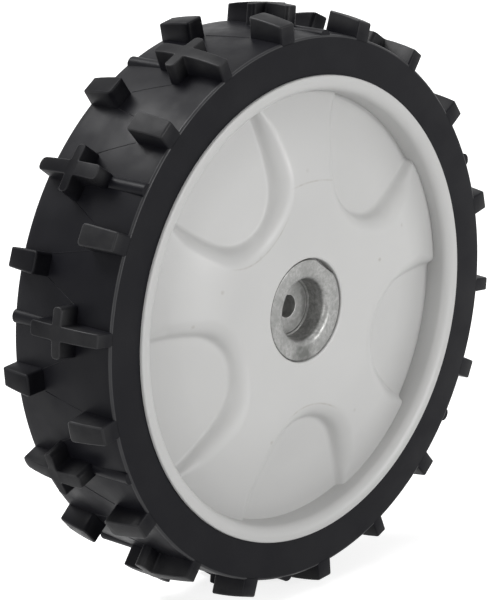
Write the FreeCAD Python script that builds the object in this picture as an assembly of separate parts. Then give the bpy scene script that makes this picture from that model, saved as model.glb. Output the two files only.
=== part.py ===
import FreeCAD, Part
import os
from math import atan2, cos, hypot, radians, sin, tan

# Lawn mower drive wheel: a lugged rubber tyre on a moulded plastic disc with a die-cast hub.
# Millimetres. The origin is the wheel's centre, the wheel spins about Y and its open face looks along -Y.
# Depths are measured back from the plane of the tyre's front sidewall, angles round Y from +X towards +Z.

# Whole wheel
overall_diameter = 228.6        # over the lugs at the middle of the tread
wheel_width = 49.4              # over the tyre's sidewalls

# Tyre
lug_crown = 2.8                 # how far the lugs' tips fall from mid-tread to the sidewalls
lug_edge_height = 6.5           # lugs' height over the bare tread at the sidewalls
tread_crown = 1.0               # rise of the bare tread at its middle
shoulder_chamfer = 0.9          # edge between bare tread and sidewall
sidewall_height = 14.3          # from the rim to the bare tread
tyre_seat_gap = 0.1             # radial room between the rubber and the rim

# Lugs: six groups of a cross and two blocks from each sidewall, the back groups half a step round
lug_groups = 6
lug_start_angle = -5.46         # first cross of the front row
block_angle = 18.46             # from a cross to the blocks beside it
block_length = 15.6             # in from the sidewall
block_edge_width = 7.4          # at the sidewall
block_inner_width = 8.6         # at the inner end
cross_edge_width = 5.2          # the cross's long arm, at the sidewall
cross_tail_width = 5.9          # the same arm at the end of its tail
cross_bar_depth = 18.6          # from the sidewall to the middle of the bar
cross_bar_thickness = 4.2       # along the wheel's axis
cross_bar_length = 19.0         # round the tread
cross_tail_depth = 31.8         # from the sidewall to the tail's end
lug_draft = 2.5                 # slope of the lugs' flanks, degrees
lug_tip_chamfer = 0.6           # edges of the tips
low_rib_radius = 1.7            # round rib from a cross's tail to the other sidewall
low_rib_sink = 0.2              # height of that rib's centre over the bare tread's edge

# Rim of the disc
rim_proud = 1.3                 # how far the front lip stands before the sidewall
rim_back_inset = 0.5            # how far the back edge stops short of the sidewall
rim_lip_width = 5.0             # width of the lips that hold the tyre sideways
rim_ramp_width = 2.0            # slope from a lip down to the channel
rim_channel_depth = 2.6         # channel that the tyre's inner rib fills
rim_edge_round = 0.7            # outer edge of the front lip
rim_lip_round = 4.4             # inner edge of the front lip
rim_lip_reach = 7.7             # from the rim's outer edge to its inner wall at the pockets' floor
rim_wall_draft = 8.0            # slope of that wall, degrees
barrel_wall = 4.2               # plastic under the channel

# Web of the disc: a shallow dish that rises to a crest and falls to the rim
web_wall = 3.4                  # thickness of the moulded plastic
crest_inset = 32.5              # from the rim's inner wall in to the crest
crest_height = 3.4              # crest before the sidewall plane
crest_round = 60.0              # how softly the dish turns into the slope
hub_seat_depth = 0.1            # dish at the hub, behind the sidewall plane
slope_end_depth = 5.7           # slope where it meets the rim wall
crest_sag = 1.6                 # most that the rounded crest lies under the sharp one

# Pockets between the spokes
pocket_count = 5
pocket_angle = 54.0             # middle of the first pocket
pocket_centre_inset = 18.6      # from the rim's inner wall to the centre of the round end
pocket_round = 21.5             # radius of the round end at the reference depth
pocket_reference_depth = 3.0
pocket_spread = 30.0            # half angle between the pocket's straight sides
pocket_draft = 38.0             # slope of the pocket's wall from the wheel's axis, degrees
pocket_floor_depth = 8.8        # at the rim wall
pocket_floor_slope = 8.2        # floor rises towards the hub, degrees
pocket_edge_round = 4.0         # upper edge
pocket_foot_round = 2.6         # foot of the wall

# Back of the disc
boss_radius = 26.0              # boss round the hub
boss_back_inset = 6.0           # boss stops short of the back sidewall
radial_rib_count = 10
ring_rib_count = 2
rib_thickness = 2.6
rib_boss_drop = 6.0             # ribs' back edge before the boss's end
rib_rim_drop = 16.0             # ribs' back edge before the rim's back edge

# Hub
flange_radius = 20.2
flange_depth = 0.3              # flange face behind the sidewall plane
flange_thickness = 4.0
flange_edge_round = 0.5
flange_gap = 0.45               # between the flange and its round recess
flange_flat_angle = 54.0        # where the flange has a flat on its edge
flange_flat_cut = 0.83          # how deep that flat cuts into the edge
counterbore_radius = 12.5
counterbore_depth = 9.5         # floor behind the sidewall plane
counterbore_mouth_round = 2.6
counterbore_bead = 0.7          # step round the edge of the floor
shank_width = 31.0              # across the flats of the eight-sided shank
shank_sides = 8
shank_gap = 0.1                 # between the shank and the disc
bolt_hole_radius = 4.4
bolt_seat_thickness = 6.5       # metal between the counterbore and the shaft socket
socket_radius = 8.0
socket_chamfer = 0.8
keyway_width = 5.0
keyway_depth = 2.3              # beyond the socket's wall

ORIGIN = FreeCAD.Vector(0, 0, 0)
SPIN_AXIS = FreeCAD.Vector(0, 1, 0)
FULL_TURN = 360.0
BEYOND = 10.0                   # how far tools reach past what they cut

front_y = -wheel_width / 2
tip_radius = overall_diameter / 2
tread_radius = tip_radius - lug_crown - lug_edge_height
rim_radius = tread_radius - sidewall_height
rim_wall_radius = rim_radius - rim_lip_reach
crest_radius = rim_wall_radius - crest_inset
pocket_centre_radius = rim_wall_radius - pocket_centre_inset
recess_radius = flange_radius + flange_gap
recess_depth = flange_depth + flange_thickness
boss_end_depth = wheel_width - boss_back_inset
rim_back_depth = wheel_width - rim_back_inset
channel_radius = rim_radius - rim_channel_depth
barrel_inner_radius = channel_radius - barrel_wall
web_end_radius = (rim_wall_radius + rim_radius) / 2     # the web runs this far into the rim
spoke_angle = pocket_angle + FULL_TURN / pocket_count / 2


def on_section(radius, depth):
    """Point of a lathe section."""
    return FreeCAD.Vector(radius, front_y + depth, 0)


def rounded_wire(corners, place):
    """Closed wire through (a, b, radius) corners, each rounded by its radius; place puts (a, b) in space."""
    count = len(corners)
    joints = []
    for index, (a, b, radius) in enumerate(corners):
        corner = FreeCAD.Vector(a, b, 0)
        before = FreeCAD.Vector(*corners[index - 1][:2], 0) - corner
        after = FreeCAD.Vector(*corners[(index + 1) % count][:2], 0) - corner
        before.normalize()
        after.normalize()
        if radius == 0:
            joints.append((corner, None, corner))
            continue
        half_angle = before.getAngle(after) / 2
        reach = radius / tan(half_angle)
        inwards = before + after
        inwards.normalize()
        middle = corner + inwards * (radius / sin(half_angle) - radius)
        joints.append((corner + before * reach, middle, corner + after * reach))
    edges = []
    for index, (start, middle, end) in enumerate(joints):
        previous_end = joints[index - 1][2]
        if (start - previous_end).Length > 1e-6:
            edges.append(Part.LineSegment(place(previous_end.x, previous_end.y), place(start.x, start.y)).toShape())
        if middle is not None:
            arc = Part.Arc(place(start.x, start.y), place(middle.x, middle.y), place(end.x, end.y))
            edges.append(arc.toShape())
    return Part.Wire(Part.__sortEdges__(edges))


def turned(corners):
    """Solid of revolution round the spin axis from (radius, depth, round) corners, its seam along a spoke."""
    section = Part.Face(rounded_wire(corners, on_section))
    return at_angle(section.revolve(ORIGIN, SPIN_AXIS, FULL_TURN), spoke_angle)


def at_angle(shape, angle):
    """Copy of a shape turned round the spin axis to an angle."""
    copy = shape.copy()
    copy.rotate(ORIGIN, SPIN_AXIS, -angle)
    return copy


def crowned_drum(inner_radius, edge_radius, middle_radius):
    """Solid ring as wide as the tyre, with a crowned outer face."""
    corners = [on_section(inner_radius, 0), on_section(edge_radius, 0),
               on_section(edge_radius, wheel_width), on_section(inner_radius, wheel_width)]
    crown = Part.Arc(corners[1], on_section(middle_radius, wheel_width / 2), corners[2]).toShape()
    sides = [Part.LineSegment(corners[0], corners[1]).toShape(),
             crown,
             Part.LineSegment(corners[2], corners[3]).toShape(),
             Part.LineSegment(corners[3], corners[0]).toShape()]
    return Part.Face(Part.Wire(sides)).revolve(ORIGIN, SPIN_AXIS, FULL_TURN)


def rim_seat(gap):
    """Outer section of the rim from front to back, grown by a gap: two lips and the channel between them."""
    back_lip = wheel_width - rim_lip_width
    return [(rim_radius + gap, rim_lip_width, 0),
            (channel_radius + gap, rim_lip_width + rim_ramp_width, 0),
            (channel_radius + gap, back_lip - rim_ramp_width, 0),
            (rim_radius + gap, back_lip, 0)]


def lug(start_depth, start_width, end_depth, end_width):
    """Drafted block along the axis with a chamfered tip on the crowned envelope, trimmed at the sidewall."""
    foot_radius = tread_radius - shoulder_chamfer
    top_radius = tip_radius + BEYOND
    flare = (top_radius - foot_radius) * tan(radians(lug_draft))

    def section(radius, grow):
        corners = [(start_depth, start_width / 2 + grow), (end_depth, end_width / 2 + grow),
                   (end_depth, -end_width / 2 - grow), (start_depth, -start_width / 2 - grow)]
        points = [FreeCAD.Vector(radius, front_y + depth, across) for depth, across in corners]
        return Part.makePolygon(points + points[:1])

    flanks = Part.makeLoft([section(foot_radius, flare / 2), section(top_radius, -flare / 2)], True, True)
    block = flanks.common(crowned_drum(foot_radius, tip_radius - lug_crown, tip_radius))
    lowest_tip = tip_radius - lug_crown - lug_tip_chamfer
    tips = [edge for edge in block.Edges if min(hypot(v.X, v.Z) for v in edge.Vertexes) > lowest_tip]
    return block.makeChamfer(lug_tip_chamfer, tips)


def edge_lug(edge_width, length, inner_width):
    """Lug that starts flush with the front sidewall: it is drawn past the sidewall and trimmed there."""
    widening = (inner_width - edge_width) / length
    return lug(-BEYOND, edge_width - widening * BEYOND, length, inner_width)


def cross_lug():
    """Long arm from the sidewall with a bar across it, and a low rib on from its tail."""
    arm = edge_lug(cross_edge_width, cross_tail_depth, cross_tail_width)
    half_bar = cross_bar_thickness / 2
    bar = lug(cross_bar_depth - half_bar, cross_bar_length, cross_bar_depth + half_bar, cross_bar_length)
    return arm.fuse([bar, low_rib()])


def low_rib():
    """Half-round rib that carries a cross's line on to the other sidewall."""
    start = on_section(tread_radius + low_rib_sink, cross_tail_depth - low_rib_radius)
    length = wheel_width - cross_tail_depth + low_rib_radius
    return Part.makeCylinder(low_rib_radius, length, start, SPIN_AXIS)


def make_tyre():
    """Rubber ring with a rib inside that fills the rim's channel, and lugs in two staggered rows."""
    drum = crowned_drum(rim_radius + tyre_seat_gap, tread_radius, tread_radius + tread_crown)
    shoulders = [edge for edge in drum.Edges
                 if edge.Curve.TypeId == "Part::GeomCircle" and abs(edge.Curve.Radius - tread_radius) < 1e-6]
    drum = drum.makeChamfer(shoulder_chamfer, shoulders)
    seat = rim_seat(tyre_seat_gap)
    overlap = seat[0][0] + (tread_radius - seat[0][0]) / 2
    inner_rib = turned(seat + [(overlap, seat[3][1], 0), (overlap, seat[0][1], 0)])
    block = edge_lug(block_edge_width, block_length, block_inner_width)
    group = [cross_lug(), at_angle(block, block_angle), at_angle(block, -block_angle)]
    mirrored = [piece.mirror(ORIGIN, SPIN_AXIS) for piece in group]
    step = FULL_TURN / lug_groups
    pieces = [inner_rib]
    for index in range(lug_groups):
        front_angle = lug_start_angle + index * step
        pieces += [at_angle(piece, front_angle) for piece in group]
        pieces += [at_angle(piece, front_angle + step / 2) for piece in mirrored]
    return drum.fuse(pieces).removeSplitter()


def floor_depth(radius):
    """Depth of the pockets' conical floor."""
    return pocket_floor_depth - (rim_wall_radius - radius) * tan(radians(pocket_floor_slope))


def web_depth(radius):
    """Depth of the web's face, the dish inside the crest and the slope outside it."""
    if radius < crest_radius:
        share = (radius - recess_radius) / (crest_radius - recess_radius)
        return hub_seat_depth - share * (hub_seat_depth + crest_height)
    share = (radius - crest_radius) / (rim_wall_radius - crest_radius)
    return -crest_height + share * (slope_end_depth + crest_height)


def pocket_prism(grow):
    """Tapered pocket, open to the rim, at angle 0; grow widens it all round."""
    spread = radians(pocket_spread)

    def outline(depth):
        radius = pocket_round + grow - (depth - pocket_reference_depth) * tan(radians(pocket_draft))
        touch_along = pocket_centre_radius - radius * sin(spread)
        touch_across = radius * cos(spread)
        end_along = rim_wall_radius + BEYOND
        end_across = touch_across + (end_along - touch_along) * tan(spread)

        def place(along, across):
            return FreeCAD.Vector(along, front_y + depth, across)

        end = Part.Arc(place(touch_along, -touch_across), place(pocket_centre_radius - radius, 0),
                       place(touch_along, touch_across))
        sides = [Part.LineSegment(place(end_along, -end_across), place(touch_along, -touch_across)),
                 end,
                 Part.LineSegment(place(touch_along, touch_across), place(end_along, end_across)),
                 Part.LineSegment(place(end_along, end_across), place(end_along, -end_across))]
        return Part.Wire([side.toShape() for side in sides])

    return Part.makeLoft([outline(-crest_height - BEYOND), outline(pocket_floor_depth + BEYOND)], True, True)


def wall_radius_at(depth):
    """Radius of the drafted rim wall at a depth."""
    return rim_wall_radius + (pocket_floor_depth - depth) * tan(radians(rim_wall_draft))


def make_pockets(grow, sink):
    """The pockets' tools: tapered prisms over the conical floor; grow widens them, sink lowers the floor."""
    before = -crest_height - BEYOND
    end = rim_radius + BEYOND
    over_floor = turned([(0, before, 0), (end, before, 0), (end, floor_depth(end) + sink, 0),
                         (0, floor_depth(0) + sink, 0)])
    pocket = pocket_prism(grow).common(over_floor)
    step = FULL_TURN / pocket_count
    return [at_angle(pocket, pocket_angle + index * step) for index in range(pocket_count)]


def make_back_hollow():
    """Space behind the raised spokes, one wall in from the face and from the pockets."""
    inner = boss_radius
    outer = rim_wall_radius - web_wall
    behind = pocket_floor_depth + BEYOND
    ring = turned([(inner, web_depth(inner) + web_wall, 0), (crest_radius, web_wall - crest_height, 0),
                   (outer, web_depth(outer) + web_wall, 0), (outer, behind, 0), (inner, behind, 0)])
    prism = pocket_prism(web_wall / cos(radians(pocket_draft)))
    step = FULL_TURN / pocket_count
    return ring.cut([at_angle(prism, pocket_angle + index * step) for index in range(pocket_count)])


def make_back_ribs():
    """Radial ribs from the boss to the rim and ring ribs between them, level at their back edge."""
    boss_side = (boss_radius - web_wall, boss_end_depth - rib_boss_drop)
    rim_side = (barrel_inner_radius + barrel_wall / 2, rim_back_depth - rib_rim_drop)

    def back_edge(radius):
        share = (radius - boss_side[0]) / (rim_side[0] - boss_side[0])
        return boss_side[1] + share * (rim_side[1] - boss_side[1])

    half_wall = web_wall / 2
    slope_foot = (rim_side[0], floor_depth(rim_side[0]) + half_wall)
    corners = [boss_side, (boss_side[0], web_depth(boss_side[0]) + half_wall),
               (crest_radius, half_wall - crest_height), slope_foot, rim_side]
    outline = Part.makePolygon([on_section(*corner) for corner in corners + corners[:1]])
    radial = Part.Face(outline).extrude(FreeCAD.Vector(0, 0, rib_thickness))
    radial.translate(FreeCAD.Vector(0, 0, -rib_thickness / 2))
    first = pocket_angle
    step = FULL_TURN / radial_rib_count
    ribs = [at_angle(radial, first + index * step) for index in range(radial_rib_count)]
    ring_step = (barrel_inner_radius - boss_radius) / (ring_rib_count + 1)
    for index in range(ring_rib_count):
        radius = boss_radius + (index + 1) * ring_step
        inner = radius - rib_thickness / 2
        outer = radius + rib_thickness / 2
        ribs.append(turned([(inner, web_depth(inner) + half_wall, 0), (outer, web_depth(outer) + half_wall, 0),
                            (outer, back_edge(outer), 0), (inner, back_edge(inner), 0)]))
    return ribs


def shank_prism(gap, start_depth, end_depth):
    """Eight-sided prism round the axis, grown by a gap."""
    corner_radius = (shank_width / 2 + gap) / cos(radians(FULL_TURN / 2 / shank_sides))
    corners = []
    for index in range(shank_sides + 1):
        angle = radians((index + 0.5) * FULL_TURN / shank_sides)
        corners.append(FreeCAD.Vector(corner_radius * cos(angle), front_y + start_depth, corner_radius * sin(angle)))
    return Part.Face(Part.makePolygon(corners)).extrude(SPIN_AXIS * (end_depth - start_depth))


def is_pocket_edge(edge, depth_of_face):
    """True for an edge of a pocket's wall that lies on a face of the web, given that face's depth by radius."""
    spots = [(hypot(p.x, p.z), p.y - front_y, atan2(p.z, p.x)) for p in edge.discretize(5)]
    on_face = all(abs(depth - depth_of_face(radius)) < crest_sag for radius, depth, angle in spots)
    radii = [radius for radius, depth, angle in spots]
    is_ring = max(radii) - min(radii) < 1e-4
    is_radial = max(abs(sin(angle - spots[0][2])) for radius, depth, angle in spots) < 1e-5
    return on_face and not is_ring and not is_radial and min(radii) > recess_radius + crest_sag


def make_web():
    """Dished web with the boss behind it and the five pockets sunk in its face; it runs on into the rim."""
    web = turned([(recess_radius, recess_depth, 0), (recess_radius, hub_seat_depth, 0),
                  (crest_radius, -crest_height, crest_round),
                  (web_end_radius, web_depth(web_end_radius), 0),
                  (web_end_radius, floor_depth(web_end_radius) + web_wall, 0),
                  (boss_radius, floor_depth(boss_radius) + web_wall, 0),
                  (boss_radius, boss_end_depth, 0), (0, boss_end_depth, 0), (0, recess_depth, 0)])
    web = web.cut(make_pockets(0, 0))
    upper = [edge for edge in web.Edges if is_pocket_edge(edge, web_depth)]
    web = web.makeFillet(pocket_edge_round, upper)
    feet = [edge for edge in web.Edges if is_pocket_edge(edge, floor_depth)]
    return web.makeFillet(pocket_foot_round, feet)


def make_rim():
    """Rim with a rounded front lip, the tyre's channel outside and a barrel behind the web."""
    foot_depth = pocket_floor_depth + web_wall / 2
    section = [(wall_radius_at(-rim_proud), -rim_proud, rim_lip_round), (rim_radius, -rim_proud, rim_edge_round)]
    section += rim_seat(0)
    section += [(rim_radius, rim_back_depth, 0), (barrel_inner_radius, rim_back_depth, 0),
                (barrel_inner_radius, foot_depth + web_wall / 2, 0), (wall_radius_at(foot_depth), foot_depth, 0)]
    return turned(section)


def make_wheel_disc():
    """One moulding: web, rim and the ribs behind them, with an eight-sided hole for the hub."""
    half_wall = web_wall / 2
    ribs = [rib.cut(make_pockets(half_wall, half_wall)) for rib in make_back_ribs()]
    disc = make_web().cut(make_back_hollow()).fuse([make_rim()] + ribs)
    return disc.cut(shank_prism(shank_gap, 0, wheel_width)).removeSplitter()


def make_drive_hub():
    """Die-cast hub: flange with a counterbore for the bolt's head, and a shank with a keyed shaft socket."""
    socket_end = counterbore_depth + bolt_seat_thickness
    core_radius = (counterbore_radius + shank_width / 2) / 2
    front = turned([(bolt_hole_radius, counterbore_depth, 0),
                    (counterbore_radius - 2 * counterbore_bead, counterbore_depth, 0),
                    (counterbore_radius - counterbore_bead, counterbore_depth - counterbore_bead / 2, 0),
                    (counterbore_radius, counterbore_depth - counterbore_bead, 0),
                    (counterbore_radius, flange_depth, counterbore_mouth_round),
                    (flange_radius, flange_depth, flange_edge_round), (flange_radius, recess_depth, 0),
                    (core_radius, recess_depth, 0), (core_radius, socket_end, 0), (bolt_hole_radius, socket_end, 0)])
    flat_start = on_section(flange_radius - flange_flat_cut, -BEYOND) - FreeCAD.Vector(0, 0, flange_radius)
    beyond_flat = Part.makeBox(flange_radius, wheel_width, 2 * flange_radius, flat_start)
    front = front.cut(at_angle(beyond_flat, flange_flat_angle))
    middle = Part.makeCylinder(core_radius, socket_end - recess_depth, on_section(0, recess_depth), SPIN_AXIS)
    socket = turned([(0, socket_end, 0), (socket_radius, socket_end, 0),
                     (socket_radius, boss_end_depth - socket_chamfer, 0),
                     (socket_radius + socket_chamfer, boss_end_depth, 0), (0, boss_end_depth, 0)])
    keyway = Part.makeBox(socket_radius + keyway_depth, boss_end_depth - socket_end, keyway_width,
                          on_section(0, socket_end) - FreeCAD.Vector(0, 0, keyway_width / 2))
    shank = shank_prism(0, recess_depth, boss_end_depth).cut([middle, socket, at_angle(keyway, 90)])
    return front.fuse(shank).removeSplitter()


os.makedirs("parts", exist_ok=True)
make_tyre().exportStep("parts/tyre.step")
make_wheel_disc().exportStep("parts/wheel_disc.step")
make_drive_hub().exportStep("parts/drive_hub.step")
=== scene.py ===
from math import cos, hypot, pi, radians, sin, sqrt, tan

import bmesh
import bpy
from mathutils import Matrix, Vector


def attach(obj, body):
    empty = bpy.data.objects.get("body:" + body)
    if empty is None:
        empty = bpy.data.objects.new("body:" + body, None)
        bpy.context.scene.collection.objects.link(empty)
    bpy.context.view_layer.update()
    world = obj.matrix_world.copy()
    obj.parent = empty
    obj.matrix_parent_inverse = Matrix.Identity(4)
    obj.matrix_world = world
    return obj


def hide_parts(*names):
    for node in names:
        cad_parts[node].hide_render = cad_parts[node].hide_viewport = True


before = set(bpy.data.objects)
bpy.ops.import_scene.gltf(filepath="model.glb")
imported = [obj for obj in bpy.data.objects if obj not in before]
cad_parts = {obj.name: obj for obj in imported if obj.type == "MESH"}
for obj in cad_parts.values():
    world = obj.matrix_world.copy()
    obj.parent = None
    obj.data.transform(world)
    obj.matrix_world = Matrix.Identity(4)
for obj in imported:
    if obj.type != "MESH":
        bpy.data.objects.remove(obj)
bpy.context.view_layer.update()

MM = 0.001
WIDTH = 49.4 * MM               # over the tyre's sidewalls
FRONT = -WIDTH / 2              # plane of the front sidewall; depths are measured back from it

# Tyre
LUG_RADIUS = 114.3 * MM         # over the lugs at mid-tread
LUG_CROWN = 2.8 * MM            # fall of the lugs' tips from mid-tread to the sidewalls
TREAD_RADIUS = 105.0 * MM       # bare tread at the sidewalls
TREAD_CROWN = 1.0 * MM
SHOULDER_ROUND = 0.9 * MM
TYRE_INNER_RADIUS = 90.15 * MM
LUG_GROUPS = 6
LUG_START_ANGLE = -5.46         # first cross of the front row, degrees
BLOCK_ANGLE = 18.46             # from a cross to the blocks beside it, degrees
BLOCK_LENGTH = 15.6 * MM
BLOCK_WIDTHS = (7.4 * MM, 8.6 * MM)     # at the sidewall and at the inner end
CROSS_WIDTHS = (5.2 * MM, 5.9 * MM)     # at the sidewall and at the tail's end
CROSS_TAIL = 31.8 * MM
CROSS_BAR = (16.5 * MM, 20.7 * MM)      # where the bar starts and ends
CROSS_BAR_LENGTH = 19.0 * MM
LUG_DRAFT = 0.02                # how much a flank leans out per unit of height
LUG_EDGE_ROUND = 0.65 * MM
LUG_CORNER_ROUND = 1.5 * MM     # upright corners away from the sidewall
LUG_TIP_FACING = 0.7            # faces whose normal points out more than this belong to a lug's tip
BACK_ARM_ROUND = 2.2 * MM       # upright corners of the back row's crosses at the sidewall
LOW_RIB_HALF_WIDTH = 2.6 * MM
LOW_RIB_HALF_HEIGHT = 2.1 * MM
LOW_RIB_CENTRE = 104.8 * MM     # radius of the rib's middle
FLASH_HEIGHT = 0.14 * MM        # line left by the mould, zigzag between the two rows
FLASH_WIDTH = 0.5 * MM

# Rim of the disc
RIM_RADIUS = 90.05 * MM
RIM_PROUD = 1.3 * MM            # front lip before the sidewall plane
RIM_BACK = 48.9 * MM            # depth of the rim's back edge
RIM_LIP_ROUND = 4.4 * MM
RIM_EDGE_ROUND = 0.7 * MM
RIM_WALL_RADIUS = 83.0 * MM     # inner wall at the pockets' floor
RIM_WALL_DRAFT = 8.0            # degrees
BARREL_RADIUS = 83.9 * MM       # inside of the rim behind the web

# Web of the disc: a dish that rises to a crest and falls to the rim, with pockets sunk in it
WEB_WALL = 3.4 * MM
WEB_END_RADIUS = 86.0 * MM      # the web runs this far into the rim
CREST_RADIUS = 50.5 * MM
CREST_HEIGHT = 3.4 * MM
CREST_BLEND = 11.8 * MM         # half width of the rounded crest
RECESS_RADIUS = 20.15 * MM      # round recess for the hub's flange
RECESS_DEPTH = 4.3 * MM
RECESS_EDGE_ROUND = 0.35 * MM
RECESS_PLAY = 0.38 * MM         # the flange lies this much off the recess's middle, to the left
RECESS_PLAY_ANGLE = -5.0        # where the gap round the flange is widest, degrees
HUB_SEAT_DEPTH = 0.5 * MM       # depth of the dish at the recess
SLOPE_END_DEPTH = 5.7 * MM      # depth of the web at the rim's wall
POCKETS = 5
POCKET_ANGLE = 54.0             # middle of the first pocket, degrees
POCKET_CENTRE = 64.4 * MM       # from the axis to the centre of the round end
POCKET_ROUND = 21.5 * MM        # radius of the round end at the reference depth
POCKET_REFERENCE = 3.0 * MM
POCKET_SPREAD = 30.0            # half angle between the sides, degrees
POCKET_BULGE_CENTRE = 69.5 * MM     # circle that the sides bulge towards
POCKET_BULGE_ROUND = 26.2 * MM
POCKET_BULGE_SHARE = 0.25
POCKET_DRAFT = 26.0             # lean of the wall from the axis's direction, degrees
POCKET_FLOOR = 8.8 * MM         # depth at the rim's wall
POCKET_FLOOR_SLOPE = 8.2        # rise of the floor towards the hub, degrees
POCKET_EDGE_ROUND = 7.8 * MM    # wide round from the web down into the pocket's round end
POCKET_RIM_ROUND = 2.5 * MM     # the same edge where it reaches the rim
POCKET_ROUND_FADE = (0.15, 0.65)    # shares of the way to the rim between which that round narrows
POCKET_CREASE = 5.0             # angle at which that round leaves the web, degrees
POCKET_FOOT_BLEND = 1.5 * MM    # how softly wall and floor meet, as a difference of depths

# Back of the disc
BOSS_RADIUS = 26.0 * MM
BOSS_END = 43.4 * MM
BOSS_HOLE_WIDTH = 31.2 * MM     # across the flats of the eight-sided hole
RIB_THICKNESS = 2.6 * MM
RIB_CHAMFER = RIB_THICKNESS / 6     # of the back edges
RIB_RING_RADII = (45.3 * MM, 64.6 * MM)
RIB_BACK_DEPTHS = (37.4 * MM, 32.9 * MM)    # ribs' back edge at the boss and at the rim

# Hub
FLANGE_RADIUS = 19.7 * MM
FLANGE_DEPTH = 0.65 * MM
FLANGE_BACK = 4.3 * MM
FLANGE_EDGE_ROUND = 0.5 * MM
FLANGE_FLAT = 18.65 * MM        # from the axis to the flat on the flange's edge
FLANGE_FLAT_ANGLE = 54.0        # degrees
COUNTERBORE_RADIUS = 12.1 * MM  # at the mouth, before its round
COUNTERBORE_FOOT_RADIUS = 11.4 * MM
COUNTERBORE_FLOOR = 9.9 * MM
COUNTERBORE_MOUTH_ROUND = 2.6 * MM
COUNTERBORE_STEP = 0.7 * MM     # height and top width of the step round the floor
COUNTERBORE_STEP_FOOT = 0.91 * MM   # width of that step at its foot
BOLT_HOLE_RADIUS = 4.4 * MM
SHANK_WIDTH = 31.0 * MM
SHANK_SIDES = 8
SOCKET_RADIUS = 8.0 * MM
SOCKET_FLOOR = 16.0 * MM
SOCKET_CHAMFER = 0.8 * MM
KEYWAY_WIDTH = 5.0 * MM
KEYWAY_REACH = 10.3 * MM        # from the axis to the keyway's bottom

# Fineness of the meshes: steps round the wheel and, in degrees, the angle from which edges stay sharp
TYRE_STEPS = 288
WEB_STEPS = 480
RIM_STEPS = 360
RING_RIB_STEPS = 240
HUB_STEPS = 360
SHARP_ANGLE = 40.0
WEB_SHARP_ANGLE = 50.0
MERGE_DISTANCE = 0.001 * MM

# Plastic
PLASTIC_SHADES = ((0.516, 0.515, 0.508), (0.546, 0.545, 0.536))
# colour of the painted shade towards the rim's wall
RIM_SHADE_PLASTIC = (0.475, 0.474, 0.468)
RIM_SHADE_RADII = (62 * MM, 80 * MM)         # painted shade darkens the disc towards the rim's wall over these radii
LIP_RADII = (83.6 * MM, 85 * MM)        # and the painted shade is weaker again over these, on the lip
LIP_SHADE_SHARE = 0.5

# Faint marks on the plastic: arcs as (pocket's angle or None, radius, middle, reach), specks as (X, Z)
MARK_COLOUR = (0.40, 0.385, 0.36)
MARK_ARCS = ((126.0, 28.2 * MM, (-26 * MM, 26 * MM), 13 * MM),
             (270.0, 27.3 * MM, (2 * MM, -37.5 * MM), 10 * MM),
             (None, 50.5 * MM, (2 * MM, 50.5 * MM), 9 * MM))
ARC_FADE = (0.1 * MM, 0.5 * MM)         # distances from an arc's line between which it fades out
SPECKS = ((-28 * MM, 26 * MM), (-62 * MM, 6 * MM), (-49 * MM, 17 * MM), (-2 * MM, 55 * MM),
          (55 * MM, 24 * MM), (40 * MM, 13 * MM), (26 * MM, -45 * MM), (-22 * MM, -47 * MM))
SPECK_RADIUS = 0.3 * MM
SPECK_FADE = 0.8 * MM

# Rubber
RUBBER_SHADES = ((0.0050, 0.0050, 0.0068), (0.0080, 0.0080, 0.0098))
LUG_TIP_SHEEN_AND_SHADE = ((0.0205, 0.0205, 0.0215), (0.0035, 0.0035, 0.0045))   # painted sheen on the front row's lug tips, painted shade on the back row's
LUG_TIP_PAINT_RADII = (107 * MM, 111 * MM)  # the lug tips' painted sheen and shade set in over these radii
ROW_FADE = 8 * MM                       # half width of the change from the front row to the back row
# colour of the painted highlight on rounded edges
EDGE_HIGHLIGHT_RUBBER = (0.020, 0.020, 0.022)
EDGE_HIGHLIGHT_ATTRIBUTE = "painted_edge_highlight"                 # attribute of the tyre's faces: how strongly their rounded edge gets the painted highlight
SHOULDER_HIGHLIGHT = 1.0
LUG_EDGE_HIGHLIGHT = 0.4
RUBBER_GLOSS = 0.08
EDGE_GLOSS = 0.27
BACK_ROW_GLOSS = 0.5                    # share of their gloss that the back row's lugs keep

# Metal
CAST_SHADES = ((0.195, 0.195, 0.19), (0.315, 0.315, 0.307))
CAST_PATCH = (0.175, 0.177, 0.171)
METAL_SHARE = 0.7
STAIN_COLOUR = (0.10, 0.102, 0.097)
STAIN_PLACE = (-1.5 * MM, -17 * MM)
STAIN_RADIUS = 3 * MM
STAIN_FADE = 4 * MM
COUNTERBORE_LIT_SHADES = ((0.22, 0.22, 0.215), (0.38, 0.38, 0.37))             # painted light on the wall of the counterbore
WALL_START = (COUNTERBORE_FOOT_RADIUS - 0.2 * MM, COUNTERBORE_FOOT_RADIUS)  # radii where it sets in
WALL_END = (COUNTERBORE_RADIUS + 0.3 * MM, COUNTERBORE_RADIUS + 2 * MM)     # radii where it ends
BOLT_HOLE_LIT_SHADES = ((0.36, 0.36, 0.35), (0.52, 0.52, 0.51))              # painted light on the wall of the bolt hole
HOLE_END = (BOLT_HOLE_RADIUS, BOLT_HOLE_RADIUS + 0.4 * MM)                  # radii where it ends

# Camera: azimuth and elevation in degrees, and distance from the middle of the wheel's face
CAMERA_AZIMUTH = -48.62
CAMERA_ELEVATION = 15.16
CAMERA_DISTANCE = 1.0733
CAMERA_LENS = 169.6
CAMERA_CLIP = 0.05
AIM_RIGHT = -0.0223             # slopes of the view axis off the wheel's face, to frame the wheel
AIM_UP = 0.00368

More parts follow.
